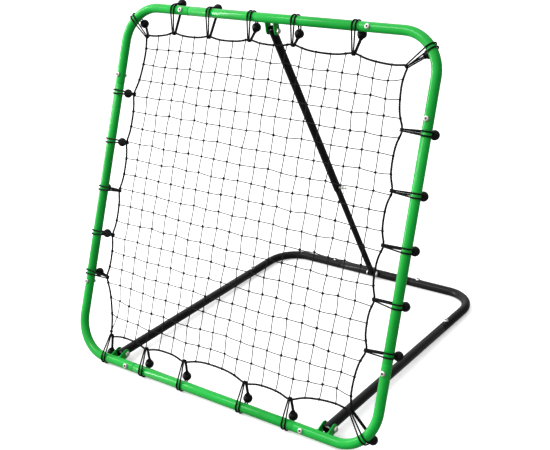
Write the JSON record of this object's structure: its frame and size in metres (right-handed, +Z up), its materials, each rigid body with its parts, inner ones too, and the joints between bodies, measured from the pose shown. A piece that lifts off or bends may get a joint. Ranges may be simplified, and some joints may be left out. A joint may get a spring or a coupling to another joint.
{
  "type": "pitch back rebounder",
  "caption": "Leaning square tube frame with a knotted net laced in by ball bungees, on a U-shaped base with a telescoping strut and locking pin.",
  "frame": {"origin": "middle of the overall box in plan, on the ground", "axes": "+X along the bottom rail, +Y from the net to the rear, +Z up"},
  "size_m": [1.0238, 0.8342, 0.9397],
  "materials": {
    "green_coat": "gloss powder coat",
    "black_coat": "gloss powder coat",
    "zinc": "bright zinc plate",
    "bungee": "braided cord and moulded ball",
    "rope": "braided",
    "net_twine": "knotted twine"
  },
  "bodies": {
    "base": {"left_leg": "black_coat", "right_leg": "black_coat", "rear_left_corner": "black_coat", "rear_right_corner": "black_coat", "rear_cross_tube": "black_coat", "left_leg_bolt": "zinc", "right_leg_bolt": "zinc", "cross_bolt_left": "zinc", "cross_bolt_right": "zinc", "rear_hinge_bolt": "zinc"},
    "frame": {"border_rope": "rope", "bottom_bungee_1": "bungee", "bottom_bungee_2": "bungee", "bottom_bungee_3": "bungee", "bottom_bungee_4": "bungee", "bottom_joint_bolt_1": "zinc", "bottom_joint_bolt_2": "zinc", "bottom_left_corner": "green_coat", "bottom_left_corner_bungee": "bungee", "bottom_rail": "green_coat", "bottom_right_corner": "green_coat", "bottom_right_corner_bungee": "bungee", "left_bungee_1": "bungee", "left_bungee_2": "bungee", "left_bungee_3": "bungee", "left_bungee_4": "bungee", "left_bungee_5": "bungee", "left_hinge_bolt": "zinc", "left_joint_bolt_1": "zinc", "left_joint_bolt_2": "zinc", "left_rail": "green_coat", "net": "net_twine", "right_bungee_1": "bungee", "right_bungee_2": "bungee", "right_bungee_3": "bungee", "right_bungee_4": "bungee", "right_bungee_5": "bungee", "right_hinge_bolt": "zinc", "right_joint_bolt_1": "zinc", "right_joint_bolt_2": "zinc", "right_rail": "green_coat", "top_bungee_1": "bungee", "top_bungee_2": "bungee", "top_bungee_3": "bungee", "top_bungee_4": "bungee", "top_bungee_5": "bungee", "top_hinge_bolt": "zinc", "top_joint_bolt_1": "zinc", "top_joint_bolt_2": "zinc", "top_left_corner": "green_coat", "top_left_corner_bungee": "bungee", "top_rail": "green_coat", "top_right_corner": "green_coat", "top_right_corner_bungee": "bungee"},
    "strut_lower": {"strut_lower_tube": "black_coat"},
    "strut_upper": {"strut_upper_tube": "black_coat", "pin_barrel": "zinc"},
    "lock_pin": {"locking_pin": "zinc"},
    "ring": {"pull_ring": "zinc"}
  },
  "joints": [
    {"name": "frame_tilt", "type": "hinge", "parent": "base", "child": "frame", "pos_m": [0.001, -0.36795, 0.02586], "axis": [1, 0, 0], "range_deg": [-10, 5]},
    {"name": "strut_swing", "type": "hinge", "parent": "base", "child": "strut_lower", "pos_m": [0.001, 0.38329, 0.02151], "axis": [1, 0, 0], "range_deg": [-8, 5]},
    {"name": "strut_slide", "type": "slide", "parent": "strut_lower", "child": "strut_upper", "axis": [0, -0.4242, 0.9056], "range_m": [-0.125, 0.065]},
    {"name": "pin_pull", "type": "slide", "parent": "strut_upper", "child": "lock_pin", "axis": [1, 0, 0], "range_m": [0, 0.008], "stiffness_N_per_m": 800, "springref_m": -0.003},
    {"name": "ring_swing", "type": "hinge", "parent": "lock_pin", "child": "ring", "pos_m": [0.0291, 0.21894, 0.37239], "axis": [0, 1, 0], "range_deg": [-90, 30]}
  ],
  "couplings": [
    {"joint": "strut_swing", "follows": "frame_tilt", "ratio": 0.672},
    {"joint": "strut_slide", "follows": "frame_tilt", "m_per_rad": 0.6876}
  ]
}
